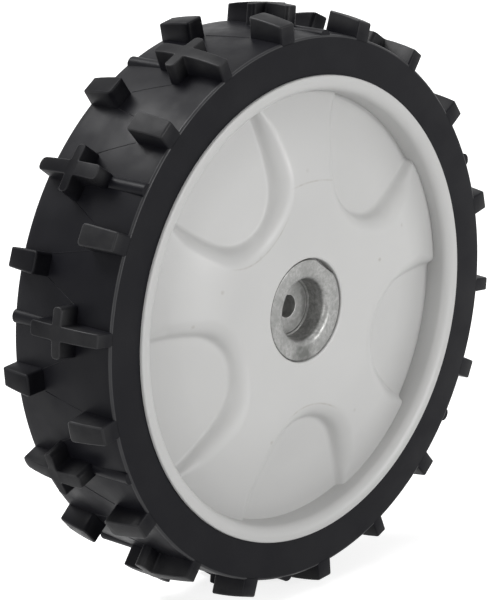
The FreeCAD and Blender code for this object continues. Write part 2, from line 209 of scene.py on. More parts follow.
# Studio: lamps as (name, position, size, power)
WHITE = (1, 1, 1, 1)
WORLD_LIGHT = 0.29
FLOOR_SIZE = 8
FLOOR_SHADES = ((0.55, 0.55, 0.55), (0.57, 0.57, 0.57))
FLOOR_CLOUD = 0.5               # size of its faint clouds
FLOOR_ROUGHNESS = 0.9
FLOOR_GLOW = 0.8                # lifts the floor to white in the picture and leaves its shadow
LAMPS = (("front", (1.2, -3.76, 0.6), 1.6, 82.0),
         ("left", (-3.9, -0.5, 0.5), 1.6, 57.0),
         ("top", (0.0, -0.5, 3.95), 1.6, 22.0),
         ("back", (-0.8, 2.0, 3.25), 2.0, 160.0))

scene = bpy.context.scene


def add_piece(name, work, sharp_angle):
    """Object from a bmesh, its doubles merged, its faces turned outwards, smooth up to an angle."""
    bmesh.ops.remove_doubles(work, verts=work.verts, dist=MERGE_DISTANCE)
    bmesh.ops.recalc_face_normals(work, faces=work.faces)
    mesh = bpy.data.meshes.new(name)
    work.to_mesh(mesh)
    work.free()
    mesh.polygons.foreach_set("use_smooth", [True] * len(mesh.polygons))
    mesh.set_sharp_from_angle(angle=radians(sharp_angle))
    piece = bpy.data.objects.new(name, mesh)
    scene.collection.objects.link(piece)
    return piece


def on_wheel(radius, depth, angle):
    """Point at a radius, a depth behind the front sidewall and an angle in radians from +X towards +Z."""
    return Vector((radius * cos(angle), FRONT + depth, radius * sin(angle)))


def join_rings(work, here, there):
    """Faces between two closed rows of corners."""
    for index in range(len(here)):
        after = (index + 1) % len(here)
        work.faces.new((here[index], here[after], there[after], there[index]))


def lathe(work, section, steps):
    """Ring from a closed section of (radius, depth) points or a function of the angle that gives one."""
    rings = []
    for step in range(steps):
        angle = 2 * pi * step / steps
        points = section(angle) if callable(section) else section
        rings.append([work.verts.new(on_wheel(radius, depth, angle)) for radius, depth in points])
    for step in range(steps):
        join_rings(work, rings[step], rings[(step + 1) % steps])


def add_bar(work, rows):
    """Closed bar through rows of corners, each of which goes round it."""
    for here, there in zip(rows, rows[1:]):
        join_rings(work, here, there)
    work.faces.new(rows[0])
    work.faces.new(rows[-1])


def rounded(corners, steps=6):
    """Section through (radius, depth, round) corners, each rounded by its own radius."""
    points = []
    count = len(corners)
    for index, (radius, depth, round_radius) in enumerate(corners):
        corner = Vector((radius, depth))
        if round_radius == 0:
            points.append((radius, depth))
            continue
        before = (Vector(corners[index - 1][:2]) - corner).normalized()
        after = (Vector(corners[(index + 1) % count][:2]) - corner).normalized()
        half_angle = before.angle(after) / 2
        centre = corner + (before + after).normalized() * (round_radius / sin(half_angle))
        start = corner + before * (round_radius / tan(half_angle)) - centre
        turn = start.angle_signed(corner + after * (round_radius / tan(half_angle)) - centre)
        for step in range(steps + 1):
            spoke = Matrix.Rotation(-turn * step / steps, 2) @ start
            points.append(tuple(centre + spoke))
    return points


def many_sided(width, sides, angle):
    """Radius of a polygon of a width across its flats, one flat facing angle 0."""
    step = 2 * pi / sides
    return width / 2 / cos((angle + step / 2) % step - step / 2)


def crown_fall(depth):
    """0 at mid-tread and 1 at either sidewall."""
    return (2 * depth / WIDTH - 1) ** 2


def tread_at(depth):
    return TREAD_RADIUS + TREAD_CROWN * (1 - crown_fall(depth))


def lug_tip_at(depth):
    return LUG_RADIUS - LUG_CROWN * crown_fall(depth)


def make_tyre_body():
    """Bare tyre: flat sidewalls, rounded shoulders and a slightly crowned tread."""
    crown_steps = 14
    depths = [WIDTH * step / crown_steps for step in range(1, crown_steps)]
    crown = [(tread_at(depth), depth, 0) for depth in depths]
    section = [(TYRE_INNER_RADIUS, 0, 0), (TREAD_RADIUS, 0, SHOULDER_ROUND), *crown,
               (TREAD_RADIUS, WIDTH, SHOULDER_ROUND), (TYRE_INNER_RADIUS, WIDTH, 0)]
    work = bmesh.new()
    edge_highlight = work.faces.layers.float.new(EDGE_HIGHLIGHT_ATTRIBUTE)
    lathe(work, rounded(section), TYRE_STEPS)
    # faces of the shoulder round get the painted highlight
    for face in work.faces:
        middle = face.calc_center_median()
        from_edge = WIDTH / 2 - abs(middle.y)
        if from_edge < SHOULDER_ROUND and hypot(middle.x, middle.z) > TREAD_RADIUS - SHOULDER_ROUND:
            face[edge_highlight] = SHOULDER_HIGHLIGHT
    return add_piece("tyre_body", work, SHARP_ANGLE)


def round_edges(work, edges, radius):
    """Rounds edges and gives the faces of the rounds."""
    return bmesh.ops.bevel(work, geom=edges, offset=radius, offset_type="OFFSET", segments=3, profile=0.5,
                           affect="EDGES", clamp_overlap=True)["faces"]


def lug_corner(work, depth, across, foot):
    """Corner of a lug's tip, or of its foot just under the tread."""
    radius = tread_at(depth) - SHOULDER_ROUND if foot else lug_tip_at(depth)
    lean = (lug_tip_at(depth) - radius) * LUG_DRAFT
    out = across + (lean if across > 0 else -lean)
    return work.verts.new((sqrt(radius * radius - out * out), FRONT + depth, out))


def lug_corners(work, rows, bar):
    """Corners by foot or tip, row and side; the ends of a cross's bar are its sides -2 and 2."""
    corners = {}
    for foot in (False, True):
        for row, (depth, half_width) in enumerate(rows):
            for side in (-1, 1):
                corners[foot, row, side] = lug_corner(work, depth, side * half_width, foot)
                if bar and row in bar[:2]:
                    corners[foot, row, 2 * side] = lug_corner(work, depth, side * bar[2], foot)
    return corners


def lug_outline(rows, bar):
    """(row, side) pairs in their order round a lug."""
    outline = [(row, 1) for row in range(len(rows))] + [(row, -1) for row in reversed(range(len(rows)))]
    if bar:
        right = outline.index((bar[0], 1)) + 1
        outline[right:right] = [(bar[0], 2), (bar[1], 2)]
        left = outline.index((bar[1], -1)) + 1
        outline[left:left] = [(bar[1], -2), (bar[0], -2)]
    return outline


def add_lug_body(work, rows, bar):
    """Sharp-edged lug; gives its upright edges at the sidewall, inside a cross, and the others."""
    corners = lug_corners(work, rows, bar)
    cells = [(row, -1, 1) for row in range(len(rows) - 1)]
    if bar:
        cells += [(bar[0], -2, -1), (bar[0], 1, 2)]
    for row, left, right in cells:
        for foot in (False, True):
            work.faces.new((corners[foot, row, left], corners[foot, row + 1, left],
                            corners[foot, row + 1, right], corners[foot, row, right]))
    at_sidewall = []
    inside_cross = []
    others = []
    outline = lug_outline(rows, bar)
    for index, (row, side) in enumerate(outline):
        before = outline[index - 1]
        there = outline[(index + 1) % len(outline)]
        tip = corners[False, row, side]
        foot = corners[True, row, side]
        wall = work.faces.new((tip, corners[(False, *there)], corners[(True, *there)], foot))
        if side == before[1] and side == there[1]:
            continue
        if row == 0:
            edges = at_sidewall
        elif bar and row in bar[:2] and abs(side) == 1:
            edges = inside_cross
        else:
            edges = others
        edges.extend(edge for edge in wall.edges if set(edge.verts) == {tip, foot})
    bmesh.ops.recalc_face_normals(work, faces=work.faces)
    return at_sidewall, inside_cross, others


def add_lug(work, rows, end_round, bar=None):
    """Rounded lug at angle 0 from (depth, half width) rows, with its own round at the sidewall's corners.

    The bar of a cross is given as (first row, last row, half length).
    """
    earlier_faces = set(work.faces)
    at_sidewall, inside_cross, others = add_lug_body(work, rows, bar)
    round_edges(work, others, LUG_CORNER_ROUND)
    if inside_cross:
        round_edges(work, inside_cross, LUG_EDGE_ROUND)
    edge_highlight_faces = round_edges(work, at_sidewall, end_round)
    work.normal_update()
    tip_edges = []
    for edge in work.edges:
        on_tip = {face.normal.x > LUG_TIP_FACING for face in edge.link_faces}
        if on_tip == {True, False} and not earlier_faces.intersection(edge.link_faces):
            tip_edges.append(edge)
    edge_highlight_faces += round_edges(work, tip_edges, LUG_EDGE_ROUND)
    # the edge rounds get the painted highlight
    edge_highlight = work.faces.layers.float[EDGE_HIGHLIGHT_ATTRIBUTE]
    for face in edge_highlight_faces:
        if face.is_valid:
            face[edge_highlight] = LUG_EDGE_HIGHLIGHT


def add_block(work):
    """Plain block from the sidewall, a little wider at its inner end."""
    steps = 4
    rows = []
    for step in range(steps + 1):
        share = step / steps
        width = BLOCK_WIDTHS[0] + share * (BLOCK_WIDTHS[1] - BLOCK_WIDTHS[0])
        rows.append((share * BLOCK_LENGTH, width / 2))
    add_lug(work, rows, LUG_EDGE_ROUND)


def add_cross(work, end_round):
    """Long arm from the sidewall with a bar across it."""
    start, end = CROSS_BAR
    depths = [0, start / 3, start * 2 / 3, start, end, (end + CROSS_TAIL) / 2, CROSS_TAIL]
    rows = []
    for depth in depths:
        width = CROSS_WIDTHS[0] + depth / CROSS_TAIL * (CROSS_WIDTHS[1] - CROSS_WIDTHS[0])
        rows.append((depth, width / 2))
    add_lug(work, rows, end_round, (depths.index(start), depths.index(end), CROSS_BAR_LENGTH / 2))


def add_low_rib(work):
    """Round rib, half sunk in the tread, from a cross's tail almost to the other sidewall."""
    steps = 16
    rows = []
    for depth in (CROSS_TAIL - LOW_RIB_HALF_HEIGHT, WIDTH - SHOULDER_ROUND / 2):
        row = []
        for step in range(steps):
            angle = 2 * pi * step / steps
            radius = LOW_RIB_CENTRE + LOW_RIB_HALF_HEIGHT * cos(angle)
            row.append(work.verts.new((radius, FRONT + depth, LOW_RIB_HALF_WIDTH * sin(angle))))
        rows.append(row)
    add_bar(work, rows)


def add_flash(work, start, end):
    """Stretch of the mould line between two (depth, angle) points of the tread."""
    steps = 8
    ridge = ((-FLASH_WIDTH / 2, -FLASH_HEIGHT), (0, FLASH_HEIGHT), (FLASH_WIDTH / 2, -FLASH_HEIGHT))
    along = Vector((end[0] - start[0], (end[1] - start[1]) * TREAD_RADIUS)).normalized()
    rows = []
    for step in range(steps + 1):
        share = step / steps
        depth = start[0] + share * (end[0] - start[0])
        angle = start[1] + share * (end[1] - start[1])
        row = []
        for across, rise in ridge:
            aside = depth - across * along.y
            turned = angle + across * along.x / TREAD_RADIUS
            row.append(work.verts.new(on_wheel(tread_at(aside) + rise, aside, turned)))
        rows.append(row)
    add_bar(work, rows)


def make_lug_group(mirrored):
    """Cross, its low rib, the two blocks beside it and the mould line up to the next group, at angle 0."""
    work = bmesh.new()
    work.faces.layers.float.new(EDGE_HIGHLIGHT_ATTRIBUTE)
    add_cross(work, BACK_ARM_ROUND if mirrored else LUG_EDGE_ROUND)
    add_low_rib(work)
    half_step = pi / LUG_GROUPS
    bar_depth = sum(CROSS_BAR) / 2
    bar_end = CROSS_BAR_LENGTH / 2 / TREAD_RADIUS
    far_depth = WIDTH - BLOCK_LENGTH
    far_block = half_step - radians(BLOCK_ANGLE)
    half_block = BLOCK_WIDTHS[1] / 2 / TREAD_RADIUS
    for side in (-1, 1):
        others = set(work.verts)
        add_block(work)
        block = [corner for corner in work.verts if corner not in others]
        bmesh.ops.rotate(work, verts=block, matrix=Matrix.Rotation(radians(-side * BLOCK_ANGLE), 3, "Y"))
        add_flash(work, (bar_depth, side * bar_end), (far_depth, side * (far_block - half_block)))
        add_flash(work, (far_depth, side * (far_block + half_block)), (WIDTH / 2, side * half_step / 2))
    if mirrored:
        work.transform(Matrix.Scale(-1, 4, (0, 1, 0)))
    return add_piece("lug_group", work, SHARP_ANGLE)


def ring_tree():
    """Geometry Nodes that repeat a shape round the wheel's axis."""
    tree = bpy.data.node_groups.new("ring of copies", "GeometryNodeTree")
    inputs = {"Shape": "Geometry", "Copies": "Int", "Start angle": "Float", "Finish": "Material"}
    for name, kind in inputs.items():
        tree.interface.new_socket(name, in_out="INPUT", socket_type="NodeSocket" + kind)
    tree.interface.new_socket("Ring", in_out="OUTPUT", socket_type="NodeSocketGeometry")
    add = tree.nodes.new
    join = tree.links.new
    start = add("NodeGroupInput")
    points = add("GeometryNodePoints")
    join(start.outputs["Copies"], points.inputs["Count"])
    step = add("ShaderNodeMath")
    step.operation = "DIVIDE"
    step.inputs[0].default_value = -2 * pi
    join(start.outputs["Copies"], step.inputs[1])
    angle = add("ShaderNodeMath")
    angle.operation = "MULTIPLY_ADD"
    join(add("GeometryNodeInputIndex").outputs["Index"], angle.inputs[0])
    join(step.outputs[0], angle.inputs[1])
    minus = add("ShaderNodeMath")
    minus.operation = "MULTIPLY"
    minus.inputs[1].default_value = -1.0
    join(start.outputs["Start angle"], minus.inputs[0])
    join(minus.outputs[0], angle.inputs[2])
    turn = add("ShaderNodeCombineXYZ")
    join(angle.outputs[0], turn.inputs["Y"])
    copies = add("GeometryNodeInstanceOnPoints")
    join(points.outputs[0], copies.inputs["Points"])
    join(start.outputs["Shape"], copies.inputs["Instance"])
    join(turn.outputs[0], copies.inputs["Rotation"])
    real = add("GeometryNodeRealizeInstances")
    join(copies.outputs[0], real.inputs[0])
    paint = add("GeometryNodeSetMaterial")
    join(real.outputs[0], paint.inputs["Geometry"])
    join(start.outputs["Finish"], paint.inputs["Material"])
    join(paint.outputs[0], add("NodeGroupOutput").inputs["Ring"])
    return tree


def ring_of(shape, name, copies, start_angle, material):
    """Turns a shape at angle 0 into a ring of copies, as a plain mesh."""
    tree = bpy.data.node_groups.get("ring of copies") or ring_tree()
    modifier = shape.modifiers.new("ring", "NODES")
    modifier.node_group = tree
    values = {"Copies": copies, "Start angle": radians(start_angle), "Finish": material}
    for item in tree.interface.items_tree:
        if item.name in values:
            modifier[item.identifier] = values[item.name]
    evaluated = shape.evaluated_get(bpy.context.evaluated_depsgraph_get())
    mesh = bpy.data.meshes.new_from_object(evaluated)
    shape.modifiers.remove(modifier)
    shape.data = mesh
    shape.name = name
    return shape


def soft_min(first, second, blend):
    """Smaller of two values, rounded where they are within blend of each other."""
    nearness = max(blend - abs(first - second), 0) / blend
    return min(first, second) - nearness * nearness * blend / 4


def web_depth(radius):
    """Depth of the web's face between the pockets."""
    inner_slope = -(HUB_SEAT_DEPTH + CREST_HEIGHT) / (CREST_RADIUS - RECESS_RADIUS)
    outer_slope = (SLOPE_END_DEPTH + CREST_HEIGHT) / (RIM_WALL_RADIUS - CREST_RADIUS)
    past_start = radius - CREST_RADIUS + CREST_BLEND
    if past_start <= 0:
        return -CREST_HEIGHT + inner_slope * (radius - CREST_RADIUS)
    if past_start >= 2 * CREST_BLEND:
        return -CREST_HEIGHT + outer_slope * (radius - CREST_RADIUS)
    bend = (outer_slope - inner_slope) * past_start * past_start / (4 * CREST_BLEND)
    return -CREST_HEIGHT + inner_slope * (radius - CREST_RADIUS) + bend


def pocket_place(radius, angle):
    """Distances of a point along the nearest pocket from its centre, and outside that pocket's outline."""
    step = 2 * pi / POCKETS
    aside = (angle - radians(POCKET_ANGLE) + step / 2) % step - step / 2
    along = radius * cos(aside) - POCKET_CENTRE
    across = abs(radius * sin(aside))
    spread = radians(POCKET_SPREAD)
    if along * cos(spread) + across * sin(spread) < 0:
        outside = hypot(along, across) - POCKET_ROUND
    else:
        outside = across * cos(spread) - along * sin(spread) - POCKET_ROUND
    bulge = hypot(along + POCKET_CENTRE - POCKET_BULGE_CENTRE, across) - POCKET_BULGE_ROUND
    outside += (bulge - outside) * POCKET_BULGE_SHARE
    return along, outside


def pocket_drop(past_edge, edge_round):
    """Fall of a pocket's wall below the web, with the round that leads down into it."""
    draft = radians(POCKET_DRAFT)
    crease = radians(POCKET_CREASE)
    into_round = edge_round * (1 / cos(draft) - cos(crease) * tan(draft)) - past_edge
    if into_round < edge_round * sin(crease):
        return 0
    if into_round < edge_round * cos(draft):
        return edge_round * cos(crease) - sqrt(edge_round ** 2 - into_round ** 2)
    return -past_edge / tan(draft)


def disc_depth(radius, angle, wall):
    """Depth of the disc's face, dish and pockets, or of its back when a wall thickness is given."""
    along, outside = pocket_place(radius, angle)
    draft = radians(POCKET_DRAFT)
    web = web_depth(radius) + wall
    past_edge = outside - wall / cos(draft) - (POCKET_REFERENCE - web) * tan(draft)
    fade_start, fade_end = POCKET_ROUND_FADE
    to_rim = along / (RIM_WALL_RADIUS - POCKET_CENTRE)
    narrowing = min(max((to_rim - fade_start) / (fade_end - fade_start), 0), 1)
    edge_round = POCKET_EDGE_ROUND + (POCKET_RIM_ROUND - POCKET_EDGE_ROUND) * narrowing
    floor = POCKET_FLOOR - (RIM_WALL_RADIUS - radius) * tan(radians(POCKET_FLOOR_SLOPE)) + wall
    return max(web, soft_min(floor, web + pocket_drop(past_edge, edge_round), POCKET_FOOT_BLEND))


def make_disc_web():
    """Dished web with its pockets, the recess and eight-sided hole for the hub, and the boss behind."""
    face_rows = 100
    back_rows = 36

    def section(angle):
        recess = RECESS_RADIUS + RECESS_PLAY * cos(angle - radians(RECESS_PLAY_ANGLE))
        reach = WEB_END_RADIUS - recess - RECESS_EDGE_ROUND
        face = []
        for row in range(face_rows + 1):
            radius = WEB_END_RADIUS - reach * row / face_rows
            face.append((radius, disc_depth(radius, angle, 0)))
        hole = many_sided(BOSS_HOLE_WIDTH, SHANK_SIDES, angle)
        lip = face[-1][1] + RECESS_EDGE_ROUND
        middle = [(recess, lip), (recess, RECESS_DEPTH), (hole, RECESS_DEPTH), (hole, BOSS_END),
                  (BOSS_RADIUS - RECESS_EDGE_ROUND, BOSS_END), (BOSS_RADIUS, BOSS_END - RECESS_EDGE_ROUND)]
        back = []
        for row in range(back_rows + 1):
            radius = BOSS_RADIUS + (WEB_END_RADIUS - BOSS_RADIUS) * row / back_rows
            back.append((radius, disc_depth(radius, angle, WEB_WALL)))
        return face + middle + back

    work = bmesh.new()
    lathe(work, section, WEB_STEPS)
    return add_piece("disc_web", work, WEB_SHARP_ANGLE)


def rim_wall_at(depth):
    return RIM_WALL_RADIUS + (POCKET_FLOOR - depth) * tan(radians(RIM_WALL_DRAFT))


def make_disc_rim():
    """Rim: drafted inner wall, rounded front lip and the barrel behind the web."""
    foot = POCKET_FLOOR + WEB_WALL / 2
    section = [(rim_wall_at(foot), foot, 0), (rim_wall_at(-RIM_PROUD), -RIM_PROUD, RIM_LIP_ROUND),
               (RIM_RADIUS, -RIM_PROUD, RIM_EDGE_ROUND), (RIM_RADIUS, RIM_BACK, RIM_EDGE_ROUND),
               (BARREL_RADIUS, RIM_BACK, RIM_EDGE_ROUND), (BARREL_RADIUS, foot + WEB_WALL / 2, 0)]
    work = bmesh.new()
    lathe(work, rounded(section, steps=10), RIM_STEPS)
    return add_piece("disc_rim", work, SHARP_ANGLE)


def rib_section(radius, angle):
    """(depth, distance from the middle) corners of a rib whose front edge lies inside the web's wall."""
    half = RIB_THICKNESS / 2
    front = disc_depth(radius, angle, WEB_WALL / 3)
    share = (radius - BOSS_RADIUS) / (BARREL_RADIUS - BOSS_RADIUS)
    back = RIB_BACK_DEPTHS[0] + share * (RIB_BACK_DEPTHS[1] - RIB_BACK_DEPTHS[0])
    return [(front, -half), (front, half), (back - RIB_CHAMFER, half), (back, half - RIB_CHAMFER),
            (back, RIB_CHAMFER - half), (back - RIB_CHAMFER, -half)]


def make_ring_ribs():
    """Ring ribs behind the web."""
    work = bmesh.new()
    for middle in RIB_RING_RADII:

        def section(angle):
            return [(middle + across, depth) for depth, across in rib_section(middle, angle)]

        lathe(work, section, RING_RIB_STEPS)
    return add_piece("ring_ribs", work, SHARP_ANGLE)


def make_radial_rib(name, web_angle):
    """Radial rib at angle 0 whose front edge follows the inside of the web at an angle of the wheel."""
    work = bmesh.new()
    steps = 40
    start = BOSS_RADIUS - WEB_WALL
    end = BARREL_RADIUS + WEB_WALL / 2
    rows = []
    for step in range(steps + 1):
        radius = start + (end - start) * step / steps
        corners = rib_section(radius, radians(web_angle))
        rows.append([work.verts.new((radius, FRONT + depth, across)) for depth, across in corners])
    add_bar(work, rows)
    return add_piece(name, work, SHARP_ANGLE)


def flange_radius_at(angle):
    """Edge of the flange, with its flat."""
    lean = cos(angle - radians(FLANGE_FLAT_ANGLE))
    return min(FLANGE_RADIUS, FLANGE_FLAT / lean) if lean > 0 else FLANGE_RADIUS


def socket_radius_at(angle):
    """Wall of the shaft socket, with its keyway at the top."""
    aside = abs((angle - pi / 2 + pi) % (2 * pi) - pi)
    half = KEYWAY_WIDTH / 2
    if aside > pi / 4:
        return SOCKET_RADIUS
    if KEYWAY_REACH * tan(aside) < half:
        return KEYWAY_REACH / cos(aside)
    return max(SOCKET_RADIUS, half / sin(aside))


def make_hub():
    """Die-cast hub: flange with a rounded counterbore, bolt hole, and a shank with a keyed socket."""
    step_top = COUNTERBORE_FLOOR - COUNTERBORE_STEP
    step_round = COUNTERBORE_STEP / 3
    foot_round = COUNTERBORE_STEP / 4

    def section(angle):
        flange = flange_radius_at(angle)
        shank = many_sided(SHANK_WIDTH, SHANK_SIDES, angle)
        socket = socket_radius_at(angle)
        return rounded([
            (BOLT_HOLE_RADIUS, COUNTERBORE_FLOOR, step_round),
            (COUNTERBORE_FOOT_RADIUS - COUNTERBORE_STEP_FOOT, COUNTERBORE_FLOOR, step_round),
            (COUNTERBORE_FOOT_RADIUS - COUNTERBORE_STEP, step_top, step_round),
            (COUNTERBORE_FOOT_RADIUS, step_top, foot_round),
            (COUNTERBORE_RADIUS, FLANGE_DEPTH, COUNTERBORE_MOUTH_ROUND),
            (flange, FLANGE_DEPTH, FLANGE_EDGE_ROUND),
            (flange, FLANGE_BACK, 0),
            (shank, FLANGE_BACK, 0),
            (shank, BOSS_END, FLANGE_EDGE_ROUND),
            (socket + SOCKET_CHAMFER, BOSS_END, 0),
            (socket, BOSS_END - SOCKET_CHAMFER, 0),
            (socket, SOCKET_FLOOR, 0),
            (BOLT_HOLE_RADIUS, SOCKET_FLOOR, 0)])

    work = bmesh.new()
    lathe(work, section, HUB_STEPS)
    return add_piece("cast_hub", work, SHARP_ANGLE)


class NodeMaterial:
    """A material and short calls to add and join its nodes."""

    def __init__(self, name):
        self.material = bpy.data.materials.new(name)
        self.material.use_nodes = True
        self.tree = self.material.node_tree
        self.shader = self.tree.nodes["Principled BSDF"]
        self.coordinates = self.add("ShaderNodeTexCoord").outputs["Object"]

    def add(self, kind, **settings):
        """New node with its properties set."""
        node = self.tree.nodes.new(kind)
        for key, value in settings.items():
            setattr(node, key, value)
        return node

    def join(self, output, socket):
        self.tree.links.new(output, socket)

    def radius(self, centre=(0, 0)):
        """Distance from the wheel's axis, or from an (X, Z) centre beside it."""
        flat = self.add("ShaderNodeVectorMath", operation="MULTIPLY")
        flat.inputs[1].default_value = (1, 0, 1)
        self.join(self.coordinates, flat.inputs[0])
        distance = self.add("ShaderNodeVectorMath", operation="DISTANCE")
        distance.inputs[1].default_value = (centre[0], 0, centre[1])
        self.join(flat.outputs["Vector"], distance.inputs[0])
        return distance.outputs["Value"]

    def along_axis(self):
        """Distance from mid-tread along the wheel's axis, towards the back."""
        parts = self.add("ShaderNodeSeparateXYZ")
        self.join(self.coordinates, parts.inputs[0])
        return parts.outputs["Y"]

    def spread(self, value, low, high, out_low=0.0, out_high=1.0):
        """Value mapped from one range to another, and kept inside it."""
        node = self.add("ShaderNodeMapRange")
        node.inputs["From Min"].default_value = low
        node.inputs["From Max"].default_value = high
        node.inputs["To Min"].default_value = out_low
        node.inputs["To Max"].default_value = out_high
        self.join(value, node.inputs["Value"])
        return node.outputs["Result"]

    def combine(self, operation, first, second):
        """Result of a mathematical operation on two values."""
        node = self.add("ShaderNodeMath", operation=operation)
        for socket, value in zip(node.inputs, (first, second)):
            self.join(value, socket)
        return node.outputs[0]

    def times(self, first, second):
        return self.combine("MULTIPLY", first, second)

    def near(self, place, reach, fade):
        """1 within reach of an (X, Z) place on the wheel's face, falling to 0 over fade."""
        return self.spread(self.radius(place), reach, reach + fade, 1.0, 0.0)

    def arc(self, centre, radius, middle, reach):
        """Thin line on a circle round an (X, Z) centre, seen only near its middle."""
        off = self.add("ShaderNodeMath", operation="SUBTRACT")
        off.inputs[1].default_value = radius
        self.join(self.radius(centre), off.inputs[0])
        aside = self.add("ShaderNodeMath", operation="ABSOLUTE")
        self.join(off.outputs[0], aside.inputs[0])
        line = self.spread(aside.outputs[0], *ARC_FADE, 1.0, 0.0)
        return self.times(line, self.near(middle, reach, reach / 2))

    def noise(self, size, detail=4.0, roughness=0.5):
        """Noise of a feature size in metres."""
        node = self.add("ShaderNodeTexNoise")
        node.inputs["Scale"].default_value = 1.0 / size
        node.inputs["Detail"].default_value = detail
        node.inputs["Roughness"].default_value = roughness
        self.join(self.coordinates, node.inputs["Vector"])
        return node.outputs["Fac"]

    def clouds(self, size, span=(0.35, 0.65), low=0.0, high=1.0, **kind):
        """Noise whose span of values is stretched to run from low to high."""
        return self.spread(self.noise(size, **kind), *span, low, high)

    def grain(self, size, strength, height, **kind):
        """Fine bumps all over the surface."""
        node = self.add("ShaderNodeBump")
        node.inputs["Strength"].default_value = strength
        node.inputs["Distance"].default_value = height
        self.join(self.noise(size, **kind), node.inputs["Height"])
        self.join(node.outputs["Normal"], self.shader.inputs["Normal"])

    def blend(self, factor, first, second):
        """Colour mix; first and second are colours or sockets."""
        node = self.add("ShaderNodeMix", data_type="RGBA")
        self.join(factor, node.inputs[0])
        colour_inputs = node.inputs[6:8]
        for socket, value in zip(colour_inputs, (first, second)):
            if isinstance(value, tuple):
                socket.default_value = (*value, 1.0)
            else:
                self.join(value, socket)
        return node.outputs[2]


def faint_marks(m):
    """1 on the fine arcs and the specks of the disc, and 0 beside them."""
    marks = []
    for pocket, radius, middle, reach in MARK_ARCS:
        centre = (0, 0)
        if pocket is not None:
            centre = (POCKET_CENTRE * cos(radians(pocket)), POCKET_CENTRE * sin(radians(pocket)))
        marks.append(m.arc(centre, radius, middle, reach))
    marks += [m.near(place, SPECK_RADIUS, SPECK_FADE) for place in SPECKS]
    together = marks[0]
    for mark in marks[1:]:
        together = m.combine("MAXIMUM", together, mark)
    return together


def moulded_plastic():
    """Pale grey-white satin plastic, faintly clouded and marked, with painted shade towards the rim, finely
    grained.
    """
    m = NodeMaterial("moulded plastic")
    base_tone = m.blend(m.clouds(size=60 * MM), *PLASTIC_SHADES)
    radius = m.radius()
    # painted shade: darker towards the rim's wall, half as strong on the lip
    rim_shade = m.times(m.spread(radius, *RIM_SHADE_RADII), m.spread(radius, *LIP_RADII, 1.0, LIP_SHADE_SHARE))
    plain = m.blend(rim_shade, base_tone, RIM_SHADE_PLASTIC)
    faint = m.times(faint_marks(m), m.clouds(size=3 * MM, detail=3.0, low=0.25, high=0.8))
    m.join(m.blend(faint, plain, MARK_COLOUR), m.shader.inputs["Base Color"])
    m.join(m.clouds(size=8 * MM, span=(0.3, 0.7), low=0.38, high=0.46), m.shader.inputs["Roughness"])
    m.grain(size=0.9 * MM, detail=2.0, strength=0.08, height=0.05 * MM)
    return m.material


def moulded_rubber():
    """Black rubber with duller blotches left by the mould, painted sheen and shade on the lugs, painted
    highlights on the rounded edges, and a fine grain.
    """
    m = NodeMaterial("moulded rubber")
    base_tone = m.blend(m.clouds(size=22 * MM, detail=5.0, span=(0.42, 0.68)), *RUBBER_SHADES)
    # painted light: lug tips paler as painted sheen on the front row, darker as painted shade on the back
    # row
    on_lug = m.spread(m.radius(), *LUG_TIP_PAINT_RADII)
    to_back = m.spread(m.along_axis(), -ROW_FADE, ROW_FADE)
    tip_light = m.times(on_lug, m.clouds(size=6 * MM, span=(0.3, 0.7), low=0.4))
    with_tip_light = m.blend(tip_light, base_tone, m.blend(to_back, *LUG_TIP_SHEEN_AND_SHADE))
    # painted highlight: paler colour on the rounded edges
    edge = m.add("ShaderNodeAttribute", attribute_name=EDGE_HIGHLIGHT_ATTRIBUTE).outputs["Fac"]
    edge_highlight = m.times(edge, m.clouds(size=9 * MM, detail=3.0, span=(0.3, 0.7), low=0.35))
    m.join(m.blend(edge_highlight, with_tip_light, EDGE_HIGHLIGHT_RUBBER), m.shader.inputs["Base Color"])
    gloss = m.spread(edge, 0.0, 1.0, RUBBER_GLOSS, EDGE_GLOSS)
    kept_gloss = m.spread(m.times(on_lug, to_back), 0.0, 1.0, 1.0, BACK_ROW_GLOSS)
    m.join(m.times(gloss, kept_gloss), m.shader.inputs["Specular IOR Level"])
    m.join(m.clouds(size=14 * MM, detail=5.0, low=0.32, high=0.52), m.shader.inputs["Roughness"])
    m.grain(size=1.2 * MM, detail=3.0, strength=0.15, height=0.08 * MM)
    return m.material


def cast_metal():
    """Dull die-cast metal, mottled, with painted light on the counterbore's wall and in the bolt hole, and a
    stain low on the flange.
    """
    m = NodeMaterial("cast metal")
    mottle = m.clouds(size=1.6 * MM, detail=5.0, roughness=0.7)
    patch = m.clouds(size=7 * MM, detail=3.0, span=(0.42, 0.62), high=0.6)
    cast = m.blend(patch, m.blend(mottle, *CAST_SHADES), CAST_PATCH)
    uneven = m.clouds(size=3 * MM, span=(0.3, 0.55), low=0.35)
    stain = m.times(m.near(STAIN_PLACE, STAIN_RADIUS, STAIN_FADE), uneven)
    stained = m.blend(stain, cast, STAIN_COLOUR)
    # painted light: lighter shades on the counterbore's wall and in the bolt hole
    radius = m.radius()
    wall = m.times(m.spread(radius, *WALL_START), m.spread(radius, *WALL_END, 1.0, 0.0))
    hole = m.spread(radius, *HOLE_END, 1.0, 0.0)
    with_wall = m.blend(wall, stained, m.blend(mottle, *COUNTERBORE_LIT_SHADES))
    m.join(m.blend(hole, with_wall, m.blend(mottle, *BOLT_HOLE_LIT_SHADES)), m.shader.inputs["Base Color"])
    m.shader.inputs["Metallic"].default_value = METAL_SHARE
    m.join(m.clouds(size=2.5 * MM, span=(0.3, 0.7), low=0.34, high=0.55), m.shader.inputs["Roughness"])
    m.grain(size=0.7 * MM, roughness=0.6, strength=0.35, height=0.1 * MM)
    return m.material


def finish_piece(piece, node, material):
    """Gives a piece its material, hides the node that it stands for and lets it ride on the wheel."""
    piece.data.materials.clear()
    piece.data.materials.append(material)
    piece.data.polygons.foreach_set("material_index", [0] * len(piece.data.polygons))
    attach(piece, "root")
    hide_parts(node)


